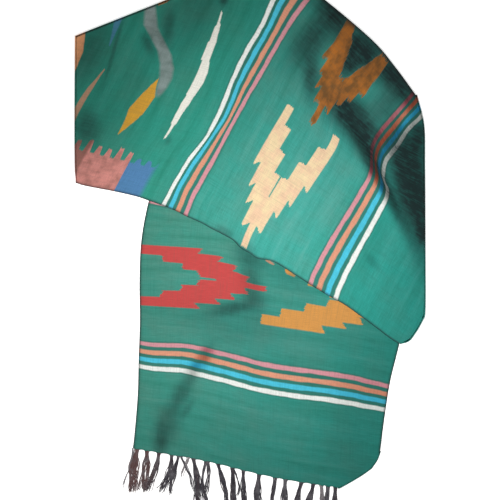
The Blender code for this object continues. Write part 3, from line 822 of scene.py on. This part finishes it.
def make_core(material):
    """The folded layers that fill the pile, whose folds and selvedges show at the side."""
    s, t = cells(CORE_COLUMNS, CORE_ROWS)
    depth = CORE_FRONT / np.linalg.norm(TOP_BACK(s) - TOP_FRONT(s), axis=-1)
    top = top_sheet(s, depth + (1 - depth) * t)
    index = np.arange(s.size).reshape(s.shape)
    open_edge = np.concatenate([index[0], index[1:, -1], index[-1, -2::-1]])
    loop = np.concatenate([open_edge, index[-2:0:-1, 0]])
    flat = top.reshape(-1, 3)
    side = np.zeros((len(loop), 2))
    side[: len(open_edge)] = outward(flat[open_edge])
    share = np.zeros(len(loop))
    along = np.arange(1, CORE_COLUMNS + 1)
    past_middle = smoothstep((along - CORE_COLUMNS / 2 - CORE_CORNER) / CORE_BLEND)
    before_end = smoothstep((CORE_COLUMNS - CORE_CORNER - along) / CORE_BLEND)
    share[CORE_ROWS + 1 : CORE_ROWS + 1 + CORE_COLUMNS] = past_middle * before_end
    places = []
    for number, ring in enumerate(CORE_RINGS):
        seed = CORE_WAVE.seed * (number // CORE_WAVE_RINGS)
        wobble = ripple(flat[loop, 0], flat[loop, 1], CORE_WAVE.size, seed)
        inside = ring.at_fold + (ring.at_selvedge - ring.at_fold) * share
        inside = inside + share * CORE_WAVE.height * (1 + wobble)
        place = flat[loop].copy()
        place[:, :2] -= side * inside[:, None]
        place[:, 2] = ring.z
        places.append(place)
    first = len(places) * len(loop)
    crest = flat.copy()
    crest[:, 2] -= CORE_DROP
    crest[loop] = places[-1]
    sheet = Sheet()
    sheet.join(index + first)
    rings = [*np.arange(first).reshape(-1, len(loop)), first + loop]
    for low, high in zip(rings, rings[1:]):
        sheet.join(np.stack([np.append(high, high[0]), np.append(low, low[0])]))
    faces = sheet.faces + [rings[0].tolist()]
    mesh = meshed("folded_layers", np.vstack([*places, crest]), faces, material)
    mesh.validate()
    shape = linked("folded_layers", mesh)
    bm = bmesh.new()
    bm.from_mesh(mesh)
    bmesh.ops.remove_doubles(bm, verts=bm.verts, dist=1e-6)
    bmesh.ops.recalc_face_normals(bm, faces=bm.faces)
    bm.to_mesh(mesh)
    bm.free()
    mesh.shade_smooth()
    mesh.set_sharp_from_angle(angle=math.radians(CORE_SHARP))
    return shape


def tube(path, radii, sides):
    """Points and faces of a closed tube along a path."""
    run = np.gradient(path, axis=0)
    run /= np.linalg.norm(run, axis=1)[:, None]
    wide = np.cross(run, (0.0, 0.0, 1.0))
    wide /= np.linalg.norm(wide, axis=1)[:, None]
    high = np.cross(wide, run)
    angles = (np.arange(sides) * 2 * math.pi / sides)[None, :, None]
    reach = radii[:, None, None]
    points = path[:, None] + reach * np.cos(angles) * wide[:, None]
    points = (points + reach * np.sin(angles) * high[:, None]).reshape(-1, 3)
    faces = []
    for k in range(0, (len(path) - 1) * sides, sides):
        for a in range(sides):
            b = (a + 1) % sides
            faces.append((k + a, k + b, k + sides + b, k + sides + a))
    faces.append(tuple(range(sides))[::-1])
    faces.append(tuple(range(len(points) - sides, len(points))))
    return points, faces


def make_fringe(material):
    rng = random.Random(FRINGE_SEED)
    places, faces, tones = [], [], []
    count = 0
    w = np.linspace(0, 1, YARN_STEPS + 1)
    for tassel in TASSELS:
        twist = rng.uniform(*YARN_TWIST) * rng.choice((-1, 1))
        tassel_phase = rng.uniform(0, math.tau)
        for _ in range(round(tassel.yarns * YARN_SHARE)):
            turn = rng.uniform(0, math.tau)
            depth = math.sqrt(rng.uniform(0.02, 1.0))
            length = tassel.length * rng.uniform(YARN_SHORTEST, 1.0) + YARN_HIDDEN
            stray = rng.gauss(0, YARN_STRAY if rng.random() < YARN_NEAT else YARN_LOOSE)
            phase = rng.uniform(0, math.tau)
            # The bundle is tight at its root, opens to its spread and closes a little at its tip
            half = TASSEL_ROOT - TASSEL_NECK * smoothstep(w / 0.10)
            half = half + (tassel.spread - 3.0) * smoothstep((w - 0.05) / 0.42) * (1 - 0.3 * w)
            around = turn + twist * w
            x = tassel.x + depth * half * np.cos(around)
            x += tassel.lean * w**1.25 + tassel.bow * np.sin(math.pi * w)
            x += TASSEL_SWAY * np.sin(tassel_phase + 5.5 * w) * w + stray * w**2.2
            x += YARN_SWAY * np.sin(phase + 13 * w) * smoothstep(w / 0.3)
            y = tassel.y + YARN_HIDDEN - length * w + YARN_BOB * np.cos(phase + 9 * w) * w
            z = 1.2 + (2.2 + 2.0 * depth * np.sin(around)) * smoothstep(w / 0.12) * (1 - 0.5 * w)
            path = np.column_stack([x, y, np.maximum(z, YARN_RADIUS + 0.1)])
            radii = YARN_RADIUS * (1 - 0.4 * w**4) * (1 + 0.14 * np.sin(phase + 17 * w))
            points, quads = tube(path, radii, YARN_SIDES)
            places.append(points)
            faces += [tuple(k + count for k in quad) for quad in quads]
            count += len(points)
            tones.append(np.full(len(points), tassel.tone + rng.uniform(-TONE_PLAY, TONE_PLAY)))
    mesh = meshed("fringe_yarns", np.vstack(places), faces, material)
    store(mesh, "tone", np.concatenate(tones))
    mesh.shade_smooth()
    return linked("fringe_yarns", mesh)


class Shader:
    """Short calls that add nodes to one material."""

    def __init__(self, name):
        self.material = bpy.data.materials.new(name)
        self.material.use_nodes = True
        self.tree = self.material.node_tree
        self.skin = self.tree.nodes["Principled BSDF"].inputs

    def node(self, kind, values=(), **settings):
        """A node with its settings, and with values or links for its first inputs or named ones."""
        made = self.tree.nodes.new("ShaderNode" + kind)
        for key, value in settings.items():
            setattr(made, key, value)
        named = values.items() if isinstance(values, dict) else enumerate(values)
        for key, value in named:
            self.feed(made.inputs[key], value)
        return made

    def feed(self, socket, value):
        if isinstance(value, bpy.types.NodeSocket):
            self.tree.links.new(value, socket)
        elif isinstance(value, tuple) and len(value) == 3 and socket.type == "RGBA":
            socket.default_value = (*value, 1.0)
        else:
            socket.default_value = value

    def math(self, operation, *values, clamp=False):
        return self.node("Math", values, operation=operation, use_clamp=clamp).outputs[0]

    def times(self, first, *others):
        for other in others:
            first = self.math("MULTIPLY", first, other)
        return first

    def line(self, value, slope, start):
        return self.math("MULTIPLY_ADD", value, slope, start)

    def minus(self, value, less):
        return self.math("SUBTRACT", value, less)

    def gap(self, value, other):
        return self.math("ABSOLUTE", self.minus(value, other))

    def share(self, value, whole):
        return self.math("DIVIDE", value, whole, clamp=True)

    def mix(self, share, base, over, blend="MIX"):
        made = self.node("Mix", {0: share, 6: base, 7: over}, data_type="RGBA", blend_type=blend)
        return made.outputs[2]

    def blend(self, base, over, pattern, low, high, most=1.0):
        """Shows more of what is over the base as the pattern goes from low to high."""
        return self.mix(self.scaled(pattern, low, high, 0.0, most), base, over)

    def tinted(self, colour, tint):
        return self.mix(1.0, colour, tint, "MULTIPLY")

    def combine(self, x, y, z=0.0):
        return self.node("CombineXYZ", (x, y, z)).outputs[0]

    def attribute(self, label):
        return self.node("Attribute", attribute_name=label).outputs["Fac"]

    def chance(self, number):
        return self.node("TexWhiteNoise", {"W": number}, noise_dimensions="1D").outputs[0]

    def noise(self, vector, scale, detail=2.0, roughness=0.5):
        values = {"Vector": vector, "Scale": scale, "Detail": detail, "Roughness": roughness}
        return self.node("TexNoise", values).outputs[0]

    def scaled(self, value, low, high, to_low=0.0, to_high=1.0):
        return self.node("MapRange", (value, low, high, to_low, to_high)).outputs[0]

    def inside(self, value, limit, blur):
        """1 where value is below limit, 0 above, and blurred in between."""
        return self.math("MULTIPLY_ADD", self.minus(limit, value), 1 / blur, 0.5, clamp=True)

    def between(self, low, value, high, low_blur, high_blur):
        """1 where value is above low and below high."""
        return self.times(self.inside(low, value, low_blur), self.inside(value, high, high_blur))

    def ramp_colour(self, value, stops):
        """A table of (place, three numbers), read with straight lines in between."""
        made = self.node("ValToRGB", (value,))
        elements = made.color_ramp.elements
        elements[0].position, elements[1].position = stops[0][0], stops[-1][0]
        for place, _ in stops[1:-1]:
            elements.new(place)
        for element, (_, numbers) in zip(elements, stops):
            element.color = (*numbers, 1.0)
        return made.outputs[0]

    def ramp(self, value, stops):
        """The three numbers of a table as three sockets."""
        return self.node("SeparateColor", (self.ramp_colour(value, stops),)).outputs

    def fix(self, values):
        """Sets what is the same all over the surface."""
        for name, value in values.items():
            self.skin[name].default_value = value

    def cover(self, colour, roughness, height, strength, distance):
        """Links the colour, roughness and bump of the surface."""
        bump = self.node("Bump", {"Strength": strength, "Distance": distance, "Height": height})
        self.feed(self.skin["Base Color"], colour)
        self.feed(self.skin["Roughness"], roughness)
        self.feed(self.skin["Normal"], bump.outputs[0])
        return self.material


class ClothShader(Shader):
    """Shader calls for a sheet of cloth, which know the place on the cloth in millimetres."""

    def __init__(self, name, weave):
        super().__init__(name)
        self.weave = weave
        place = self.node("UVMap", uv_map="cloth").outputs[0]
        parts = self.node("SeparateXYZ", (place,)).outputs
        self.along, self.across = self.times(parts[0], 1 / MM), self.times(parts[1], 1 / MM)
        self.spot = self.combine(self.along, self.across)
        # Each pick of the weft is shifted a little by hand
        pick = self.math("FLOOR", self.math("DIVIDE", self.along, PICK))
        self.jitter = self.times(self.minus(self.chance(pick), 0.5), 2.0)

    def streaks(self, per_along, per_across, detail=3.0):
        spot = self.combine(self.times(self.along, per_along), self.times(self.across, per_across))
        return self.noise(spot, 1.0, detail)

    def drawn_along(self, start, end):
        """Axis coordinates between two seen places: how far along, how far aside, length."""
        first, last = self.weave.cloth(plan([start, end]))
        run = last - first
        length = float(np.linalg.norm(run))
        run = (run / length).tolist()
        x = self.minus(self.along, float(first[0]))
        y = self.minus(self.across, float(first[1]))
        far = self.line(y, run[1], self.times(x, run[0]))
        return far, self.line(y, run[0], self.times(x, -run[1])), length

    def bowed(self, aside, share, bow):
        """The way aside, from an axis that bulges by the given amount half way."""
        return self.line(self.times(share, self.minus(1.0, share)), float(4 * bow), aside)


REACH = 400.0  # range of the motif's tables
TABLE_UNIT = 100.0
FIGURE_BLUR = 2.2
END_BLUR = 2.0
OPEN = 5  # added to the notches, so that none is below zero in its table


def staircase(barbs):
    """Stops of (place, outline, level behind the barb, nick) for a motif's ramp."""
    stops = [(0.0, (barbs[0].inner,) * 3)]
    for barb in barbs:
        full = barb.outer + 1
        stops += [
            (barb.from_tip - 2, (barb.inner,) * 3),
            (barb.from_tip, (barb.outer, barb.inner, barb.outer - 1)),
            (barb.from_tip + NICK, (full, barb.inner, barb.inner + 1)),
            (barb.from_tip + NICK + 1, (full,) * 3),
        ]
    stops.append((MOTIF_LENGTH, (barbs[-1].outer + 4,) * 3))
    return [(place / REACH, tuple(w / TABLE_UNIT for w in wide)) for place, wide in stops]


def stepped_motif(sh, motif):
    """Where the stepped motif shows, from 0 to 1."""
    far, aside, length = sh.drawn_along(motif.tip, motif.arms)
    aside = sh.bowed(aside, sh.share(far, length), motif.bow)
    stretch = MOTIF_LENGTH / (length - motif.stalk)
    far = sh.line(far, stretch, -motif.stalk * stretch)
    far = sh.line(aside, motif.skew, far)
    far = sh.line(sh.jitter, motif.fray, far)
    size = sh.math("DIVIDE", sh.math("ABSOLUTE", aside), TABLE_UNIT * motif.breadth)
    place = sh.share(far, REACH)
    steps = sh.ramp(place, staircase(motif.barbs))
    stops = [(n.from_tip / REACH, ((n.inner + OPEN) / TABLE_UNIT,) * 3) for n in motif.notches]
    inner = sh.minus(sh.ramp(place, stops)[0], OPEN / TABLE_UNIT)
    blur = FIGURE_BLUR / TABLE_UNIT
    solid = sh.math("MAXIMUM", sh.inside(size, steps[1], blur), sh.inside(steps[2], size, blur))
    sides = sh.between(inner, size, steps[0], blur, blur)
    ends = sh.between(-motif.stalk * stretch, far, MOTIF_LENGTH, END_BLUR, END_BLUR)
    return sh.times(sides, solid, ends)


def ribbon_mask(sh):
    """Where a soft ribbon shows that wanders along the cloth as it crosses it."""
    spots = sh.weave.cloth(plan(RIBBON))
    order = np.argsort(spots[:, 1])
    start, reach = float(spots[:, 0].min()), float(np.ptp(spots[:, 0]))
    first, last = float(spots[:, 1].min()), float(spots[:, 1].max())
    stops = []
    for k in order:
        along, across = spots[k].tolist()
        numbers = ((along - start) / reach, RIBBON[k].width / TABLE_UNIT, 0.0)
        stops.append(((across - first) / (last - first), numbers))
    middle = sh.ramp(sh.scaled(sh.across, first, last), stops)
    aside = sh.gap(sh.along, sh.line(middle[0], reach, start))
    shown = sh.inside(aside, sh.times(middle[1], TABLE_UNIT / 2), 8.0)
    return sh.times(shown, sh.between(first, sh.across, last, 6.0, 14.0), RIBBON_STRENGTH)


def spindle_mask(sh, spindle):
    """Where a slim figure shows whose left and right edges follow its profile."""
    far, aside, length = sh.drawn_along(spindle.start, spindle.end)
    far = sh.line(sh.jitter, 2.5, far)
    share = sh.share(far, length)
    aside = sh.bowed(aside, share, spindle.bow)
    stops = [(w.share, (w.left / TABLE_UNIT, w.right / TABLE_UNIT, 0.0)) for w in spindle.profile]
    wide = sh.ramp(share, stops)
    left = sh.inside(aside, sh.times(wide[0], TABLE_UNIT), FIGURE_BLUR)
    right = sh.inside(0.0, sh.line(wide[1], TABLE_UNIT, aside), FIGURE_BLUR)
    ends = sh.between(0.0, far, length, END_BLUR, END_BLUR)
    return sh.times(left, right, ends, spindle.strength)


def comb_colours(sh, weft):
    """The two-coloured comb that stands on the front selvedge."""
    up = sh.line(sh.jitter, 2.0, sh.minus(WIDTH, sh.across))
    tooth = sh.line(sh.minus(sh.along, COMB_SPLIT + COMB_FIRST), 1 / COMB_PITCH, 0.5)
    from_peak = sh.gap(sh.math("FRACT", tooth), 0.5)
    blue = sh.inside(sh.along, COMB_SPLIT, 1.5)
    tall = sh.line(blue, COMB_STUBS - COMB_TEETH, COMB_TEETH)
    tall = sh.line(sh.chance(sh.math("FLOOR", tooth)), -COMB_UNEVEN, tall)
    reach = sh.scaled(from_peak, 0.17, 0.31, tall, COMB_SOLID)
    shown = sh.times(sh.inside(up, reach, 3.0), sh.between(COMB_FROM, sh.along, COMB_TO, 13.0, 2.0))
    brick = sh.blend(BRICK, BRICK_DARK, sh.noise(sh.spot, 0.045, 3.0), 0.42, 0.68, 0.75)
    # Painted shade: the brick part is darker past its far end
    brick = sh.mix(sh.inside(COMB_SHADED_FROM, sh.along, 5.0), brick, BRICK_DARK)
    return sh.mix(sh.times(shown, 0.92), weft, sh.mix(blue, brick, DENIM))


def green_ground(sh, cloud, streak, along_tints, across_tints):
    """Uneven dye, in streaks along both threads and in clouds, tinted from part to part, and dimmed
    away from the middle by a painted pool of lamp light.
    """
    band = sh.streaks(0.050, 0.0035)
    fleck = sh.streaks(0.10, 0.42, 4.0)
    ground = sh.blend(GREEN, GREEN_GREYED, cloud, 0.42, 0.70, 0.8)
    ground = sh.blend(ground, GREEN_DEEP, band, 0.48, 0.74, 0.42)
    ground = sh.blend(ground, GREEN_PALE, band, 0.46, 0.28, 0.24)
    ground = sh.blend(ground, GREEN_DEEP, streak, 0.45, 0.78, 0.24)
    ground = sh.blend(ground, GREEN_PALE, fleck, 0.60, 0.80, 0.26)
    for way, tints in ((sh.along, along_tints), (sh.across, across_tints)):
        if tints:
            stops = [(t.place / TINT_REACH, t.colour) for t in tints]
            ground = sh.tinted(ground, sh.ramp_colour(sh.share(way, TINT_REACH), stops))
    # Painted light: the ground is dimmed away from the middle, as if under the lamp
    painted_light = sh.attribute("painted_light")
    return sh.tinted(ground, sh.combine(painted_light, painted_light, painted_light))


def striped(sh, ground, soil_and_shade):
    """The stripes on both sides of the band of motifs, with the dark cloth between them."""
    wave = sh.scaled(sh.noise(sh.combine(0.0, sh.across), 0.03, 3.0), 0.0, 1.0, -1.6, 1.6)
    from_middle = sh.math("ADD", sh.gap(sh.along, BAND_MIDDLE), wave)
    group = sh.between(STRIPES_FROM, from_middle, STRIPES_TO, 4.0, 4.0)
    weft = sh.mix(sh.times(group, 0.62), ground, BETWEEN)
    worn = sh.scaled(sh.streaks(0.35, 0.02), 0.35, 0.75, 0.0, 0.22)
    # Stripes in stains and painted shade turn darker and more saturated
    stripe_shade_depth = sh.math("MULTIPLY", soil_and_shade, 1.6, clamp=True)
    for stripe in STRIPES:
        half = stripe.width / 2
        wide = sh.scaled(sh.streaks(0.0, 0.02), 0.3, 0.7, half - 1, half + 0.6)
        colour = sh.mix(worn, stripe.colour, tuple(0.72 * c + 0.04 for c in stripe.colour))
        colour = sh.mix(stripe_shade_depth, colour, tuple(c * c for c in stripe.colour))
        weft = sh.mix(sh.inside(sh.gap(from_middle, stripe.from_middle), wide, 2.4), weft, colour)
    return weft


def cotton(name, weave, motifs, spindles, along_tints, across_tints=(), centre=False):
    """The woven cloth: a green ground with what is woven into it, its stains and painted shade,
    threads and nap.
    """
    sh = ClothShader(name, weave)
    cloud = sh.noise(sh.spot, 0.011, 4.0, 0.55)
    streak = sh.streaks(0.30, 0.012)
    ground = green_ground(sh, cloud, streak, along_tints, across_tints)

    # Stains and painted shade have uneven edges
    rough = sh.times(sh.noise(sh.spot, 0.05, 4.0, 0.6), 0.5)
    rough = sh.line(sh.streaks(0.02, 0.20), 0.5, rough)
    uneven = sh.scaled(rough, 0.30, 0.70, 0.80, 1.22)
    soil_and_shade = sh.math("MULTIPLY", sh.attribute("soil_and_shade"), uneven, clamp=True)

    weft = striped(sh, ground, soil_and_shade)
    kept = 0.0
    for motif in motifs:
        patchy = sh.streaks(0.045, 0.028, 4.0)
        colour = sh.blend(motif.colour, motif.mottled, patchy, 0.40, 0.62, 0.85)
        shown = stepped_motif(sh, motif)
        weft = sh.mix(sh.times(shown, 0.96), weft, colour)
        kept = sh.math("MAXIMUM", shown, kept)
    soil_and_shade = sh.times(soil_and_shade, sh.line(kept, -0.62, 1.0))
    if centre:
        smoke = sh.blend(ASH, ASH_DARK, sh.streaks(0.020, 0.030, 4.0), 0.40, 0.66, 0.75)
        weft = sh.mix(ribbon_mask(sh), weft, smoke)
    for spindle in spindles:
        weft = sh.mix(spindle_mask(sh, spindle), weft, spindle.colour)
    if centre:
        weft = comb_colours(sh, weft)

    # Threads: the warp shows between the picks
    slub = sh.streaks(0.9, 0.045)
    tone = sh.scaled(slub, 0.3, 0.7, 0.88, 1.09)
    lit = sh.tinted(weft, sh.combine(tone, tone, tone))
    lit = sh.blend(lit, WARP, sh.streaks(0.016, 0.35), 0.45, 0.75, 0.18)
    picks = sh.math("SINE", sh.times(sh.along, 2 * math.pi / PICK))
    ends = sh.math("SINE", sh.times(sh.across, 2 * math.pi / END))
    check = sh.times(picks, ends)
    lit = sh.blend(lit, WARP, check, 0.1, 1.0, 0.26)
    # Painted shade in a dark line along edges and the slanted fold, with the selvedges' darker
    # threads
    lit = sh.mix(sh.times(sh.attribute("edge"), 0.86), lit, STAIN_AND_SHADE)
    # Painted shade of folds and real stains darken the cloth towards near-black green
    lit = sh.mix(soil_and_shade, lit, sh.mix(0.5, sh.tinted(lit, DIRT_AND_SHADE), STAIN_AND_SHADE))

    nap = sh.noise(sh.spot, 0.8, 2.0)
    height = sh.times(sh.math("ABSOLUTE", check), 0.5)
    for layer, share in ((streak, 0.6), (nap, 0.35), (slub, 0.5)):
        height = sh.line(layer, share, height)
    sh.fix({"Specular IOR Level": 0.1, "Sheen Weight": 0.03, "Sheen Roughness": 0.5})
    return sh.cover(lit, sh.scaled(cloud, 0.3, 0.7, 0.80, 0.94), height, 0.6, 0.0006)


def plain_cotton(name):
    """The same cloth where only its edges show: green, with faint layers."""
    sh = Shader(name)
    place = sh.node("TexCoord").outputs["Object"]
    cloud = sh.noise(place, 14.0, 4.0)
    thread = sh.noise(place, 420.0, 2.0)
    colour = sh.blend(GREEN, GREEN_DEEP, cloud, 0.35, 0.65)
    colour = sh.blend(colour, WARP, thread, 0.35, 0.7, 0.6)
    return sh.cover(colour, sh.scaled(cloud, 0.3, 0.7, 0.82, 0.95), thread, 0.5, 0.0008)


def yarn(name):
    """Twisted yarn: charcoal, browner where its tone is above 0 and paler below."""
    sh = Shader(name)
    place = sh.node("TexCoord").outputs["Object"]
    tone = sh.attribute("tone")
    fine = sh.noise(place, 600.0, 3.0)
    colour = sh.mix(sh.share(tone, 1.0), CHARCOAL, YARN_BROWN)
    colour = sh.mix(sh.share(tone, -1.0), colour, YARN_PALE)
    colour = sh.blend(colour, YARN_GREY, sh.noise(place, 60.0, 2.0), 0.42, 0.72, 0.5)
    colour = sh.blend(colour, YARN_SHADE, fine, 0.35, 0.8, 0.45)
    sh.fix({"Specular IOR Level": 0.2})
    return sh.cover(colour, sh.scaled(fine, 0.2, 0.8, 0.75, 0.95), fine, 0.7, 0.0006)


def make_floor():
    sh = Shader("pale_floor")
    sh.fix({"Base Color": (0.86, 0.855, 0.85, 1), "Roughness": 0.95})
    sh.fix({"Emission Color": (1.0, 0.995, 0.99, 1), "Emission Strength": 0.70})
    size = FLOOR_HALF / MM
    corners = [(-size, -size, 0), (size, -size, 0), (size, size, 0), (-size, size, 0)]
    floor = linked("floor", meshed("floor", corners, [(0, 1, 2, 3)], sh.material))


def light_room():
    scene = bpy.context.scene
    scene.view_settings.view_transform = "Standard"
    world = bpy.data.worlds.new("room")
    world.use_nodes = True
    sky = world.node_tree.nodes["Background"].inputs
    sky[0].default_value = SKY
    sky[1].default_value = SKY_STRENGTH
    scene.world = world
    for lamp in LAMPS:
        data = bpy.data.lights.new(lamp.name, "AREA")
        data.energy = lamp.energy
        data.color = lamp.colour
        data.size = lamp.size
        shape = linked(lamp.name, data)
        shape.location = lamp.place
        shape.visible_camera = False
        way = Vector(lamp.target) - Vector(lamp.place)
        shape.rotation_euler = way.to_track_quat("-Z", "Y").to_euler()


def make_camera():
    """Straight above, framing as much as the photograph does."""
    data = bpy.data.cameras.new("camera")
    data.lens = LENS
    data.sensor_width = SENSOR
    data.clip_end = CAMERA_REACH
    framed = 2 * PHOTO_MIDDLE * PIXEL * MM
    shape = linked("camera", data)
    shape.location = (0, 0, SURFACE + framed * LENS / SENSOR)
    bpy.context.scene.camera = shape


top_weave = Weave(TOP_GUIDES)
end_weave = Weave(END_GUIDES, reverse=True)
top_cotton = cotton("top_cotton", top_weave, TOP_MOTIFS, SPINDLES, TOP_TINTS, centre=True)
end_cotton = cotton("end_cotton", end_weave, END_MOTIFS, END_SPINDLES, END_ZONES, END_TINTS)

top_cloth = make_top(top_weave, top_cotton)
end_cloth = make_end(end_weave, end_cotton)
layers = make_core(plain_cotton("inner_cotton"))
yarns = make_fringe(yarn("charcoal_yarn"))

for shape, node, slot in (
    (top_cloth, "top_layer", "green_cotton"),
    (end_cloth, "fringed_end", "green_cotton"),
    (layers, "hidden_layers", "inner_cotton"),
    (yarns, "fringe", "charcoal_yarn"),
):
    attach(shape, "root")
    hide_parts(node)

make_floor()
light_room()
make_camera()
